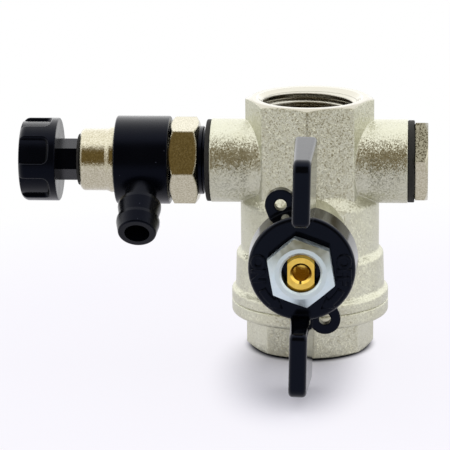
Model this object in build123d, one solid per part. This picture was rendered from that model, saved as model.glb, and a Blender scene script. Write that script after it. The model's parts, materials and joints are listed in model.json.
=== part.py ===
from build123d import *
import math
import os

# Ball valve with a drain cock. Millimetres, +Z up along the flow axis.
# The origin is on the flow axis at the lower socket's end face. The stem points to -Y,
# the drain cock to -X and the plug to +X.

# Pipe sockets and flow way
overall_height = 56.6
pipe_thread_radius = 10.48
upper_thread_length = 12.0
lower_thread_length = 10.5
mouth_radius = 11.5
flow_radius = 7.5
flow_clearance = 0.4

# Octagons at both ends
octagon_flats = 26.4
upper_face_radius = 12.9
lower_face_radius = 12.1
end_face_slope = 20
lower_octagon_turn = 5.5
octagon_sides = 8
octagon_edge_round = 0.6

# Body barrel, from the joint with the end connector upwards
joint_height = 11.1
collar_radius = 17.5
collar_height = 2.3
collar_slope_height = 0.8
barrel_radius = 16.6
barrel_draft = 0.2
barrel_height = 7.4
neck_step_height = 1.2
neck_radius = 15.4
neck_height = 11.0
shoulder_round = 1.6
shoulder_rise = 3.4
shoulder_top_radius = 12.8
cast_round = 0.7

# End connector
octagon_height = 8.0
collar_edge_round = 0.8
joint_edge_break = 0.2
joint_thread_radius = 13.8
joint_thread_length = 4.7
joint_clearance = 0.05

# Ball, seats and body seal
ball_height = 28.4
ball_radius = 12.2
cavity_clearance = 0.6
seat_outer_radius = 11.2
seat_back = 10.2
seat_front = 6.2
seat_ball_clearance = 0.12
seat_pocket_clearance = 0.05
body_seal_thickness = 1.1
body_seal_width = 1.1
slot_width = 5.2
slot_depth = 2.9
drive_clearance = 0.1

# Side ports
port_height = 42.2
port_radius = 9.25
port_reach = 21.7
port_foot_radius = 10.0
port_foot_inner = 9.6
port_foot_outer = 13.2
port_blend = 4.0
port_thread_radius = 6.58
port_thread_depth = 8.8
port_thread_clearance = 0.08
port_way_radius = 2.4
port_mouth_chamfer = 0.5

# Stem and its boss, stations counted from the flow axis towards the handle
boss_radius = 7.6
boss_reach = 35.0
boss_root_radius = 8.6
boss_root_reach = 15.0
boss_taper_length = 9.0
stem_radius = 4.95
stem_running_clearance = 0.05
stem_flange_radius = 5.9
stem_flange_thickness = 1.8
stem_flange_clearance = 0.15
stem_lift = 0.5
tang_width = 8.6
washer_thickness = 0.7
washer_clearance = 0.05
stem_end_inset = 0.5
stem_thread_radius = 4.0
stem_flats = 5.6
stem_end_chamfer = 0.6
stem_hole_radius = 1.75
stem_hole_depth = 6.0
stem_hole_countersink = 0.5
stem_seal_station = 20.0
stem_seal_spacing = 5.5
seal_groove_width = 1.9
seal_section = 1.4
seal_groove_depth = 1.45
seal_clearance = 0.02

# Handle
hub_end_gap = 2.3
hub_web_thickness = 3.4
hub_depth = 7.9
hub_face_radius = 11.2
hub_rim_radius = 11.6
hub_edge_round = 0.8
hub_cup_radius = 9.2
handle_hole_clearance = 0.05
wing_stand = 10.3
wing_overhang = 1.3
wing_front_span = 25.1
wing_back_span = 26.6
wing_root = 9.9
wing_front_root = 11.4
wing_front_thickness = 3.65
wing_back_thickness = 4.85
wing_tip_round = 2.4
wing_root_round = 1.4
wing_edge_round = 0.9
wing_turn = 1.4
ear_distance = 13.2
ear_angle = 20.5
ear_radius = 3.3
ear_hole_radius = 1.25
ear_thickness = 2.4
stop_lug_angle = 44
stop_rib_angle = 44
stop_lug_reach = 4.2
stop_radial_clearance = 0.35
quarter_turn = 90

# Handle nut
nut_flats = 13.0
nut_thickness = 4.0
nut_turn = 9.5
nut_bore_clearance = 0.06
nut_mouth = 0.45
nut_face_radius = 5.4
nut_slope = 20

# Hexagons and gaskets at the side ports
hexagon_sides = 6
hexagon_flats = 17.0
hexagon_slope = 30
gasket_radius = 9.1
plug_gasket_thickness = 1.5
drain_gasket_thickness = 1.1
gasket_bore_clearance = 0.1
gasket_edge_round = 0.3
plug_hexagon_length = 2.8
plug_face_radius = 8.3
plug_face_thickness = 0.15
plug_corner_elevation = 12.5
spigot_end_gap = 0.5

# Drain body, stations counted from the flow axis outwards
backing_ring_radius = 7.6
backing_ring_thickness = 1.75
backing_groove_radius = 7.15
backing_groove_width = 0.6
drain_hexagon_length = 6.15
drain_hexagon_elevation = 23
journal_radius = 6.4
journal_length = 12.4
drain_way_radius = 3.0
drain_seat_depth = 2.2
drain_seat_lip = 0.5
drain_seat_wall = 0.7
chamber_radius = 4.4
outlet_hole_radius = 1.1
outlet_hole_count = 4
swivel_seal_section = 1.2
swivel_groove_depth = 1.25
swivel_groove_width = 1.7
swivel_groove_inset = 1.3

# Swivel ring and hose tail
swivel_radius = 9.8
swivel_running_clearance = 0.06
swivel_end_clearance = 0.2
swivel_edge_round = 0.4
swivel_channel_radius = 7.7
swivel_channel_width = 3.6
tail_elevation = -35
tail_reach = 21.6
tail_neck_radius = 3.5
tail_waist_radius = 4.15
tail_barb_radius = 4.75
tail_tip_radius = 4.15
tail_bore_radius = 2.75
tail_first_barb = 13.6
tail_second_barb = 18.0
tail_barb_land = 0.8
tail_barb_back = 0.3
tail_tip_round = 0.4

# Bonnet, spindle, disc and knob
bonnet_collar_radius = 7.3
bonnet_collar_length = 1.0
bonnet_taper_length = 1.0
bonnet_radius = 6.9
bonnet_length = 7.8
bonnet_end_round = 1.0
bonnet_spigot_length = 2.7
bonnet_spigot_clearance = 0.05
wiper_radius = 5.75
wiper_depth = 0.6
wiper_stand = 0.6
wiper_clearance = 0.02
spindle_radius = 2.5
spindle_running_clearance = 0.06
spindle_nose_radius = 1.6
spindle_nose_length = 1.4
spindle_grip = 11.8
spindle_seal_section = 1.3
spindle_seal_inset = 1.2
spindle_gland_width = 1.8
disc_radius = 3.9
disc_thickness = 2.5
disc_rim = 0.3
disc_pocket_depth = 0.8
disc_clearance = 0.05
drain_washer_thickness = 1.3
shank_flats = 8.0
shank_elevation = 14
shank_clearance = 0.12
shank_depth = 3.2
shank_end_gap = 0.6
knob_station = 55.8
knob_length = 8.3
knob_radius = 9.25
knob_outer_round = 1.6
knob_inner_round = 0.3
knob_fit = 0.02
flute_count = 6
flute_angle = 36
flute_first_elevation = 25
flute_depth = 0.8
flute_wall_slope = 35
flute_rim = 2.3
flute_corner_round = 0.9
flute_edge_round = 0.35

# Stations and frames that follow from the sizes above
barrel_base = joint_height + collar_height + collar_slope_height
barrel_top = barrel_base + barrel_height
neck_base = barrel_top + neck_step_height
neck_top = neck_base + neck_height
shoulder_top = neck_top + shoulder_rise
cavity_radius = ball_radius + cavity_clearance
passage_radius = flow_radius + flow_clearance
seat_pocket_radius = seat_outer_radius + seat_pocket_clearance
seat_pocket_back = seat_back + seat_pocket_clearance
joint_thread_top = joint_height + joint_thread_length
seal_ledge = joint_thread_top + body_seal_thickness
nose_radius = joint_thread_radius - body_seal_width
stem_bore_radius = stem_radius + stem_running_clearance
stem_flange_base = ball_radius + stem_lift
stem_flange_top = stem_flange_base + stem_flange_thickness
washer_top = stem_flange_top + washer_thickness + 2 * washer_clearance
flange_bore_radius = stem_flange_radius + stem_flange_clearance
spigot_radius = port_thread_radius - port_thread_clearance
port_thread_floor = port_reach - port_thread_depth
backing_station = port_reach + drain_gasket_thickness
hexagon_station = backing_station + backing_ring_thickness
journal_station = hexagon_station + drain_hexagon_length
journal_end = journal_station + journal_length
drain_seat_station = journal_station + drain_seat_depth
swivel_middle = journal_station + journal_length / 2
bonnet_end = journal_end + bonnet_length
washer_face_station = drain_seat_station + drain_seat_lip + disc_clearance
disc_front = washer_face_station + drain_washer_thickness - disc_pocket_depth
disc_back = disc_front + disc_thickness
spindle_shoulder = disc_back + disc_clearance
stem_seat_station = boss_reach + hub_end_gap
hub_face_station = stem_seat_station + hub_web_thickness
hub_rim_station = hub_face_station - hub_depth
wing_front_station = hub_face_station + wing_stand
wing_back_station = hub_rim_station - wing_overhang
nut_face_station = hub_face_station + nut_thickness
stem_end_station = nut_face_station - stem_end_inset
stop_lug_middle = quarter_turn / 2
stop_play = (180 - stop_lug_angle - stop_rib_angle - quarter_turn) / 2
stop_rib_middle = stop_lug_middle - (stop_lug_angle + stop_rib_angle) / 2 - stop_play
shank_bore_radius = shank_flats / math.sqrt(3) + shank_clearance
shank_bore_floor = bonnet_end - shank_depth - shank_end_gap
knob_end = knob_station + knob_length

# Local Z of each frame runs along the named axis, away from the flow axis.
stem_frame = Plane((0, 0, ball_height), x_dir=(1, 0, 0), z_dir=(0, -1, 0))
drain_frame = Plane((0, 0, port_height), x_dir=(0, -1, 0), z_dir=(-1, 0, 0))
plug_frame = Plane((0, 0, port_height), x_dir=(0, 1, 0), z_dir=(1, 0, 0))

# Cutters run past the faces that they open by this much.
overrun = 1.0

# Places closer than this count as the same.
same_place = 0.02

# A prism's corner at this angle from local X points along local Y.
corner_along_y = 90


def turned(*corners):
    """Revolve an outline of (radius, station) corners, each with an optional rounding, about Z."""
    outline = make_face(Polyline(*[corner[:2] for corner in corners], close=True))
    for radius, station, *rounding in corners:
        if rounding:
            nearest = outline.vertices().sort_by_distance((radius, station))[0]
            outline = fillet(nearest, rounding[0])
    return revolve(Plane.XZ * outline, Axis.Z)


def rod(radius, start, end):
    """Plain cylinder along Z between two stations."""
    return Pos(0, 0, start) * extrude(Circle(radius), end - start)


def tube(outer, inner, start, end):
    """Plain ring along Z between two stations."""
    return Pos(0, 0, start) * extrude(Circle(outer) - Circle(inner), end - start)


def prism(sides, flats, start, end, turn=0):
    """Regular prism along Z with a corner at the given angle from local X."""
    corner_radius = flats / 2 / math.cos(math.pi / sides)
    outline = RegularPolygon(corner_radius, sides, rotation=turn)
    return Pos(0, 0, start) * extrude(outline, end - start)


def turned_end(face_radius, slope, reach, face, inside):
    """Envelope whose end at station face is turned back at a slope outside face_radius."""
    rise = (reach - face_radius) * math.tan(math.radians(slope))
    drop = math.copysign(rise, inside - face)
    return turned((0, inside), (reach, inside), (reach, face + drop), (face_radius, face), (0, face))


def o_ring(floor_radius, section, station):
    """Round-section ring that sits on a groove floor."""
    centre_radius = floor_radius + section / 2 + seal_clearance
    return Pos(0, 0, station) * Torus(centre_radius, section / 2)


def double_flat(radius, flats):
    """Round outline with two flats facing local X."""
    return Circle(radius) & Rectangle(flats, 2 * radius)


def sector(radius, angle, start, end, middle):
    """Wedge about Z, angle degrees wide, centred on the direction middle."""
    half = math.radians(angle / 2)
    reach = radius / math.cos(half)
    corners = [(0, 0)] + [(reach * math.cos(a), reach * math.sin(a)) for a in (-half, half)]
    wedge = make_face(Polyline(*corners, close=True)) & Circle(radius)
    return Pos(0, 0, start) * Rot(0, 0, middle) * extrude(wedge, end - start)


def mouth(radius, face, inside):
    """Cutter for a 45 degree lead-in from the given mouth radius down to a bore."""
    depth = radius - inside
    return turned((0, face - depth), (inside, face - depth), (radius, face), (0, face))


def stop_lugs(inner, outer, start, end, angle, middle):
    """Two opposite ring sectors, the stops of the quarter turn."""
    ring = tube(outer, inner, start, end)
    wedges = [sector(2 * outer, angle, start, end, middle + turn) for turn in (0, 180)]
    return ring & (wedges[0] + wedges[1])


def cast_octagon(start, end, turn):
    """Octagon socket whose cast corners are rounded along its length."""
    octagon = prism(octagon_sides, octagon_flats, start, end, turn)
    return fillet(octagon.edges().filter_by(Axis.Z), octagon_edge_round)


def valve_body():
    """Cast body: stepped barrel, octagon socket, two side ports and the stem boss."""
    barrel = turned(
        (0, joint_height),
        (collar_radius - joint_edge_break, joint_height),
        (collar_radius, joint_height + joint_edge_break),
        (collar_radius, joint_height + collar_height, cast_round),
        (barrel_radius, barrel_base, cast_round),
        (barrel_radius - barrel_draft, barrel_top, cast_round),
        (neck_radius, neck_base, cast_round),
        (neck_radius, neck_top, shoulder_round),
        (shoulder_top_radius, shoulder_top),
        (0, shoulder_top),
    )
    socket = cast_octagon(ball_height, overall_height, corner_along_y)
    socket &= turned_end(upper_face_radius, end_face_slope, collar_radius, overall_height, 0)
    return barrel + socket + port_pipes() + stem_boss() - body_hollows()


def stem_boss():
    """Boss for the stem, with the two lugs that stop the handle."""
    boss = turned(
        (0, 0),
        (boss_root_radius, 0),
        (boss_root_radius, boss_root_reach, cast_round),
        (boss_radius, boss_root_reach + boss_taper_length, cast_round),
        (boss_radius, boss_reach),
        (0, boss_reach),
    )
    boss += stop_lugs(
        boss_radius - cast_round,
        hub_cup_radius - stop_radial_clearance,
        boss_reach - stop_lug_reach,
        boss_reach,
        stop_lug_angle,
        stop_lug_middle,
    )
    return stem_frame * boss


def port_pipes():
    """Both side ports as one turning that flares where it leaves the octagon."""
    right_half = [
        (port_foot_radius, port_foot_inner),
        (port_radius, port_foot_outer, port_blend),
        (port_radius, port_reach),
        (0, port_reach),
    ]
    left_half = [(radius, -station, *rounding) for radius, station, *rounding in reversed(right_half)]
    return drain_frame * turned(*right_half, *left_half)


def body_hollows():
    """Everything bored into the body, as one cutter."""
    flow = turned(
        (0, joint_height - overrun),
        (joint_thread_radius, joint_height - overrun),
        (joint_thread_radius, seal_ledge),
        (cavity_radius, seal_ledge),
        (cavity_radius, ball_height + seat_front),
        (seat_pocket_radius, ball_height + seat_front),
        (seat_pocket_radius, ball_height + seat_pocket_back),
        (passage_radius, ball_height + seat_pocket_back),
        (passage_radius, overall_height - upper_thread_length),
        (pipe_thread_radius, overall_height - upper_thread_length),
        (pipe_thread_radius, overall_height),
        (0, overall_height),
    )
    flow += mouth(mouth_radius, overall_height, pipe_thread_radius)
    stem_bore = rod(stem_bore_radius, 0, boss_reach + overrun)
    stem_bore += rod(flange_bore_radius, 0, washer_top)
    port_bore = rod(port_way_radius, 0, port_reach)
    port_bore += rod(port_thread_radius, port_thread_floor, port_reach + overrun)
    port_bore += mouth(port_thread_radius + port_mouth_chamfer, port_reach, port_thread_radius)
    port_bores = drain_frame * port_bore + plug_frame * port_bore
    return flow + stem_frame * stem_bore + port_bores


def end_connector():
    """Lower socket: octagon and collar below, threaded spigot and seat pocket above."""
    octagon = cast_octagon(0, octagon_height, corner_along_y + lower_octagon_turn)
    octagon &= turned_end(lower_face_radius, end_face_slope, collar_radius, 0, overall_height)
    nose_top = ball_height - seat_front
    thread_radius = joint_thread_radius - joint_clearance
    upper = turned(
        (0, octagon_height),
        (collar_radius, octagon_height, collar_edge_round),
        (collar_radius, joint_height - joint_edge_break),
        (collar_radius - joint_edge_break, joint_height),
        (thread_radius, joint_height),
        (thread_radius, joint_thread_top),
        (nose_radius, joint_thread_top),
        (nose_radius, nose_top),
        (0, nose_top),
    )
    pocket_floor = ball_height - seat_pocket_back
    hollow = turned(
        (0, 0),
        (pipe_thread_radius, 0),
        (pipe_thread_radius, lower_thread_length),
        (passage_radius, lower_thread_length),
        (passage_radius, pocket_floor),
        (seat_pocket_radius, pocket_floor),
        (seat_pocket_radius, nose_top),
        (0, nose_top),
    )
    lead_in = mirror(mouth(mouth_radius, 0, pipe_thread_radius), Plane.XY)
    return octagon + upper - hollow - lead_in


def ball():
    """Bored ball with a drive slot across the bore, open towards the stem."""
    sphere = Sphere(ball_radius) - rod(flow_radius, -ball_radius, ball_radius)
    slot_floor = ball_radius - slot_depth
    slot = Box(2 * ball_radius, slot_depth + overrun, slot_width)
    slot = Pos(0, -slot_floor - (slot_depth + overrun) / 2, 0) * slot
    return Pos(0, 0, ball_height) * (sphere - slot)


def seat_ring(side):
    """Seat ring above (+1) or below (-1) the ball, with a hollow face that fits the ball."""
    ring = tube(seat_outer_radius, passage_radius, seat_front, seat_back)
    ring -= Sphere(ball_radius + seat_ball_clearance)
    if side < 0:
        ring = mirror(ring, Plane.XY)
    return Pos(0, 0, ball_height) * ring


def body_seal_ring():
    """Flat seal between the end connector's thread and the body's inner ledge."""
    inner = nose_radius + joint_clearance
    outer = joint_thread_radius - joint_clearance
    return tube(outer, inner, joint_thread_top, seal_ledge)


def stem_groove_floor():
    return stem_radius - seal_groove_depth


def stem():
    """Stem: drive tang, flange, sealed shank and a double-flat threaded end."""
    shank = turned(
        (0, stem_flange_base),
        (stem_flange_radius, stem_flange_base),
        (stem_flange_radius, stem_flange_top),
        (stem_radius, stem_flange_top),
        (stem_radius, stem_seat_station),
        (0, stem_seat_station),
    )
    for station in (stem_seal_station, stem_seal_station + stem_seal_spacing):
        half = seal_groove_width / 2
        shank -= tube(stem_radius + overrun, stem_groove_floor(), station - half, station + half)
    tang_base = ball_radius - slot_depth + drive_clearance
    tang = Box(tang_width, slot_width - 2 * drive_clearance, stem_flange_base - tang_base)
    tang = Pos(0, 0, (tang_base + stem_flange_base) / 2) * tang
    end_outline = double_flat(stem_thread_radius, stem_flats)
    end = Pos(0, 0, stem_seat_station) * extrude(end_outline, stem_end_station - stem_seat_station)
    end &= turned_end(
        stem_thread_radius - stem_end_chamfer, 45, stem_radius, stem_end_station, stem_seat_station
    )
    hole = rod(stem_hole_radius, stem_end_station - stem_hole_depth, stem_end_station)
    hole += mouth(stem_hole_radius + stem_hole_countersink, stem_end_station, stem_hole_radius)
    return stem_frame * (tang + shank + end - hole)


def stem_seal(station):
    return stem_frame * o_ring(stem_groove_floor(), seal_section, station)


def stem_thrust_washer():
    """Low-friction washer between the stem's flange and the body."""
    start = stem_flange_top + washer_clearance
    return stem_frame * tube(stem_flange_radius, stem_bore_radius, start, start + washer_thickness)


def handle_wing():
    """One wing of the handle, standing along local +Y, thinner towards its front edge."""
    side = make_face(Polyline(
        (wing_root, wing_back_station),
        (wing_back_span, wing_back_station),
        (wing_front_span, wing_front_station),
        (wing_front_root, wing_front_station),
        (wing_root, hub_face_station - hub_edge_round),
        close=True,
    ))
    for corner, rounding in (
        ((wing_front_span, wing_front_station), wing_tip_round),
        ((wing_front_root, wing_front_station), wing_root_round),
        ((wing_back_span, wing_back_station), wing_root_round),
    ):
        side = fillet(side.vertices().sort_by_distance(corner)[0], rounding)
    plate = extrude(Plane.YZ * side, wing_back_thickness, both=True)
    back, front = wing_back_thickness / 2, wing_front_thickness / 2
    section = make_face(Polyline(
        (-back, wing_back_station),
        (back, wing_back_station),
        (front, wing_front_station),
        (-front, wing_front_station),
        close=True,
    ))
    drafted = extrude(Plane.XZ * section, -(wing_back_span + overrun))
    wing = plate & drafted

    def along_flank(edge):
        middle = edge @ 0.5
        return abs(middle.X) > front - same_place and middle.Y > wing_root + wing_edge_round
    return fillet(wing.edges().filter_by(along_flank), wing_edge_round)


def handle_ear(angle):
    """Flat eye for a seal wire at the hub's rim, angle degrees from local +Y."""
    strap = Pos(0, ear_distance / 2) * Rectangle(2 * ear_radius, ear_distance)
    outline = Pos(0, ear_distance) * Circle(ear_radius) + strap
    ear = Pos(0, 0, hub_rim_station) * extrude(outline, ear_thickness)
    return Rot(0, 0, angle) * ear


def handle():
    """Butterfly handle: cupped hub, two drafted wings and two seal-wire ears."""
    hub = turned(
        (0, hub_rim_station),
        (hub_rim_radius, hub_rim_station),
        (hub_face_radius, hub_face_station, hub_edge_round),
        (0, hub_face_station),
    )
    wing = Rot(0, 0, -wing_turn) * handle_wing()
    shape = hub + wing + Rot(0, 0, 180) * wing
    shape += handle_ear(ear_angle) + handle_ear(ear_angle + 180)
    cup = rod(hub_cup_radius, wing_back_station - overrun, stem_seat_station)
    cup -= stop_lugs(
        boss_radius + stop_radial_clearance,
        hub_cup_radius + overrun,
        hub_rim_station,
        stem_seat_station,
        stop_rib_angle,
        stop_rib_middle,
    )
    shape -= cup
    for turn in (0, 180):
        eye = Rot(0, 0, ear_angle + turn) * Pos(0, ear_distance, 0)
        shape -= eye * rod(ear_hole_radius, wing_back_station, stem_seat_station)
    hole = double_flat(
        stem_thread_radius + handle_hole_clearance, stem_flats + 2 * handle_hole_clearance
    )
    shape -= Pos(0, 0, stem_seat_station) * extrude(hole, wing_front_station)
    return stem_frame * shape


def hexagon_nut(flats, face_radius, slope, start, end, turn):
    """Hexagon along Z with both ends turned to a slope outside their flat faces."""
    envelope_reach = flats
    nut = prism(hexagon_sides, flats, start, end, turn)
    nut &= turned_end(face_radius, slope, envelope_reach, end, start - flats)
    return nut & turned_end(face_radius, slope, envelope_reach, start, end + flats)


def handle_nut():
    bore_radius = stem_thread_radius + nut_bore_clearance
    corner = corner_along_y + nut_turn
    nut = hexagon_nut(nut_flats, nut_face_radius, nut_slope, hub_face_station, nut_face_station, corner)
    nut -= rod(bore_radius, hub_face_station, nut_face_station)
    nut -= mouth(bore_radius + nut_mouth, nut_face_station, bore_radius)
    return stem_frame * nut


def gasket(thickness):
    """Flat gasket on a side port's face."""
    bore = spigot_radius + gasket_bore_clearance
    end = port_reach + thickness
    return turned(
        (bore, port_reach),
        (gasket_radius, port_reach, gasket_edge_round),
        (gasket_radius, end, gasket_edge_round),
        (bore, end),
    )


def side_plug():
    """Hexagon plug with a short washer face and a threaded spigot."""
    face = port_reach + plug_gasket_thickness
    hexagon_start = face + plug_face_thickness
    hexagon_end = hexagon_start + plug_hexagon_length
    corner = 2 * corner_along_y - plug_corner_elevation
    plug = prism(hexagon_sides, hexagon_flats, hexagon_start, hexagon_end, corner)
    plug &= turned_end(hexagon_flats / 2, hexagon_slope, hexagon_flats, hexagon_end, 0)
    plug += rod(plug_face_radius, face, hexagon_start)
    plug += rod(spigot_radius, port_thread_floor + spigot_end_gap, face)
    return plug_frame * plug


def drain_backing_ring():
    """Black ring between the drain's gasket and its hexagon, grooved next to the gasket."""
    bore = spigot_radius + gasket_bore_clearance
    groove_end = backing_station + backing_groove_width
    return drain_frame * turned(
        (bore, backing_station),
        (backing_groove_radius, backing_station),
        (backing_groove_radius, groove_end),
        (backing_ring_radius, groove_end, gasket_edge_round),
        (backing_ring_radius, hexagon_station, gasket_edge_round),
        (bore, hexagon_station),
    )


def swivel_groove_stations():
    inset = swivel_groove_inset + swivel_groove_width / 2
    return journal_station + inset, journal_end - inset


def swivel_groove_floor():
    return journal_radius - swivel_groove_depth


def drain_body():
    """Drain cock body: threaded spigot, hexagon and journal, with a raised seat inside."""
    spigot_start = port_thread_floor + spigot_end_gap
    body = rod(spigot_radius, spigot_start, hexagon_station)
    corner = drain_hexagon_elevation + 180 / hexagon_sides
    body += hexagon_nut(
        hexagon_flats, hexagon_flats / 2, hexagon_slope, hexagon_station, journal_station, corner
    )
    body += rod(journal_radius, journal_station, journal_end)
    hollow = rod(chamber_radius, drain_seat_station, journal_end)
    lip_end = drain_seat_station + drain_seat_lip
    hollow -= rod(drain_way_radius + drain_seat_wall, drain_seat_station, lip_end)
    hollow += rod(drain_way_radius, spigot_start, lip_end)
    body -= hollow
    for station in swivel_groove_stations():
        half = swivel_groove_width / 2
        body -= tube(journal_radius + overrun, swivel_groove_floor(), station - half, station + half)
    outlet = Pos(0, 0, swivel_middle) * Rot(0, 90, 0) * rod(outlet_hole_radius, 0, swivel_radius)
    for index in range(outlet_hole_count):
        body -= Rot(0, 0, tail_elevation + index * 360 / outlet_hole_count) * outlet
    return drain_frame * body


def swivel_seal(station):
    return drain_frame * o_ring(swivel_groove_floor(), swivel_seal_section, station)


def swivel_ring():
    """Moulded ring that turns on the journal, with a two-barb hose tail."""
    bore = journal_radius + swivel_running_clearance
    start = journal_station + swivel_end_clearance
    end = journal_end - swivel_end_clearance
    ring = turned(
        (0, start),
        (swivel_radius, start, swivel_edge_round),
        (swivel_radius, end, swivel_edge_round),
        (0, end),
    )
    tail = turned(
        (0, 0),
        (tail_neck_radius, 0),
        (tail_neck_radius, tail_first_barb - tail_barb_back),
        (tail_barb_radius, tail_first_barb),
        (tail_barb_radius, tail_first_barb + tail_barb_land),
        (tail_waist_radius, tail_second_barb - tail_barb_back),
        (tail_barb_radius, tail_second_barb),
        (tail_barb_radius, tail_second_barb + tail_barb_land),
        (tail_tip_radius, tail_reach, tail_tip_round),
        (0, tail_reach),
    )
    outward = Rot(0, 0, tail_elevation) * Pos(0, 0, swivel_middle) * Rot(0, 90, 0)
    ring += outward * tail
    ring -= rod(bore, start, end)
    half = swivel_channel_width / 2
    ring -= tube(swivel_channel_radius, bore - overrun, swivel_middle - half, swivel_middle + half)
    ring -= outward * rod(tail_bore_radius, 0, tail_reach)
    return drain_frame * ring


def spindle_gland_radius():
    return spindle_radius + 2 * spindle_running_clearance + spindle_seal_section


def drain_bonnet():
    """Bonnet screwed into the journal; it holds the swivel ring and guides the spindle."""
    taper_start = journal_end + bonnet_collar_length
    taper_end = taper_start + bonnet_taper_length
    bonnet = turned(
        (0, journal_end - bonnet_spigot_length),
        (chamber_radius - bonnet_spigot_clearance, journal_end - bonnet_spigot_length),
        (chamber_radius - bonnet_spigot_clearance, journal_end),
        (bonnet_collar_radius, journal_end),
        (bonnet_collar_radius, taper_start),
        (bonnet_radius, taper_end),
        (bonnet_radius, bonnet_end, bonnet_end_round),
        (0, bonnet_end),
    )
    bore_radius = spindle_radius + spindle_running_clearance
    bonnet -= rod(bore_radius, journal_end - bonnet_spigot_length, bonnet_end)
    gland_start = journal_end + spindle_seal_inset
    bonnet -= rod(spindle_gland_radius(), gland_start, gland_start + spindle_gland_width)
    bonnet -= rod(shank_bore_radius, shank_bore_floor, bonnet_end)
    bonnet -= rod(wiper_radius, bonnet_end - wiper_depth, bonnet_end)
    return drain_frame * bonnet


def wiper_ring():
    """Rubber ring in the bonnet's mouth, round the knob's shank."""
    start = bonnet_end - wiper_depth
    end = bonnet_end + wiper_stand
    outer = wiper_radius - wiper_clearance
    return drain_frame * turned(
        (shank_bore_radius, start),
        (outer, start),
        (outer, end, gasket_edge_round),
        (shank_bore_radius, end),
    )


def drain_spindle():
    """Spindle with a nose for the disc holder; its outer end is held in the knob."""
    spindle = turned(
        (0, spindle_shoulder - spindle_nose_length),
        (spindle_nose_radius, spindle_shoulder - spindle_nose_length),
        (spindle_nose_radius, spindle_shoulder),
        (spindle_radius, spindle_shoulder),
        (spindle_radius, shank_start() + spindle_grip),
        (0, shank_start() + spindle_grip),
    )
    return drain_frame * spindle


def spindle_seal():
    floor = spindle_radius + spindle_running_clearance
    middle = journal_end + spindle_seal_inset + spindle_gland_width / 2
    return drain_frame * o_ring(floor, spindle_seal_section, middle)


def disc_holder():
    """Brass cup on the spindle's nose, free to stay still while the spindle turns."""
    holder = rod(disc_radius, disc_front, disc_back)
    holder -= rod(disc_radius - disc_rim, disc_front, disc_front + disc_pocket_depth)
    socket_depth = spindle_nose_length + disc_clearance
    socket_radius = spindle_nose_radius + spindle_running_clearance
    holder -= rod(socket_radius, disc_back - socket_depth, disc_back)
    return drain_frame * holder


def drain_washer():
    """Rubber disc in the holder's cup, closing the raised seat."""
    radius = disc_radius - disc_rim - disc_clearance
    return drain_frame * rod(radius, washer_face_station, disc_front + disc_pocket_depth)


def shank_start():
    return bonnet_end - shank_depth


def knob_flute():
    """Cutter for one finger recess with sloping walls, open to the knob's outer face, along local X."""
    floor = knob_radius - flute_depth
    half_angle = math.radians(flute_angle / 2)
    length = knob_length - flute_rim + overrun
    outline = Rectangle(length, 2 * floor * math.sin(half_angle))
    inner = outline.vertices().group_by(Axis.X)[0]
    outline = fillet(inner, flute_corner_round)
    start = floor * math.cos(half_angle)
    pad = extrude(Plane.YZ * Rot(0, 0, 90) * outline, knob_radius + overrun - start, taper=-flute_wall_slope)
    pad = Pos(start, 0, knob_station + flute_rim + length / 2) * pad
    return pad - rod(floor, knob_station - overrun, knob_end + 2 * overrun)


def on_recess_rim(edge):
    """Whether an edge of the knob is where a finger recess breaks through its outside."""
    start, middle, end = edge @ 0, edge @ 0.5, edge @ 1
    outside = math.hypot(middle.X, middle.Y) > knob_radius - flute_depth / 3
    beyond_rim = min(start.Z, end.Z) > knob_station + flute_rim / 2
    level = max(abs(start.Z - middle.Z), abs(end.Z - middle.Z)) < same_place
    return outside and beyond_rim and not level


def drain_knob():
    """Moulded knob with six finger recesses and a hexagon shank."""
    knob = turned(
        (0, knob_station),
        (knob_radius, knob_station, knob_inner_round),
        (knob_radius, knob_end, knob_outer_round),
        (0, knob_end),
    )
    flute = knob_flute()
    for index in range(flute_count):
        knob -= Rot(0, 0, flute_first_elevation + index * 360 / flute_count) * flute
    knob = fillet(knob.edges().filter_by(on_recess_rim), flute_edge_round)
    corner = shank_elevation + 180 / hexagon_sides
    knob += prism(hexagon_sides, shank_flats, shank_start(), knob_station, corner)
    knob -= rod(spindle_radius + knob_fit, shank_start(), shank_start() + spindle_grip + knob_fit)
    return drain_frame * knob


first_groove, second_groove = swivel_groove_stations()
nodes = {
    "valve_body": valve_body(),
    "end_connector": end_connector(),
    "ball": ball(),
    "upper_seat_ring": seat_ring(1),
    "lower_seat_ring": seat_ring(-1),
    "body_seal_ring": body_seal_ring(),
    "stem": stem(),
    "stem_thrust_washer": stem_thrust_washer(),
    "stem_seal_inner": stem_seal(stem_seal_station),
    "stem_seal_outer": stem_seal(stem_seal_station + stem_seal_spacing),
    "handle": handle(),
    "handle_nut": handle_nut(),
    "side_plug": side_plug(),
    "plug_gasket": plug_frame * gasket(plug_gasket_thickness),
    "drain_gasket": drain_frame * gasket(drain_gasket_thickness),
    "drain_backing_ring": drain_backing_ring(),
    "drain_body": drain_body(),
    "swivel_seal_inner": swivel_seal(first_groove),
    "swivel_seal_outer": swivel_seal(second_groove),
    "swivel_ring": swivel_ring(),
    "drain_bonnet": drain_bonnet(),
    "wiper_ring": wiper_ring(),
    "drain_spindle": drain_spindle(),
    "spindle_seal": spindle_seal(),
    "disc_holder": disc_holder(),
    "drain_washer": drain_washer(),
    "drain_knob": drain_knob(),
}

os.makedirs("parts", exist_ok=True)
for name, shape in nodes.items():
    export_step(shape, f"parts/{name}.step")
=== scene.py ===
import json
import math

import bmesh
import bpy
from mathutils import Matrix, Vector


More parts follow.
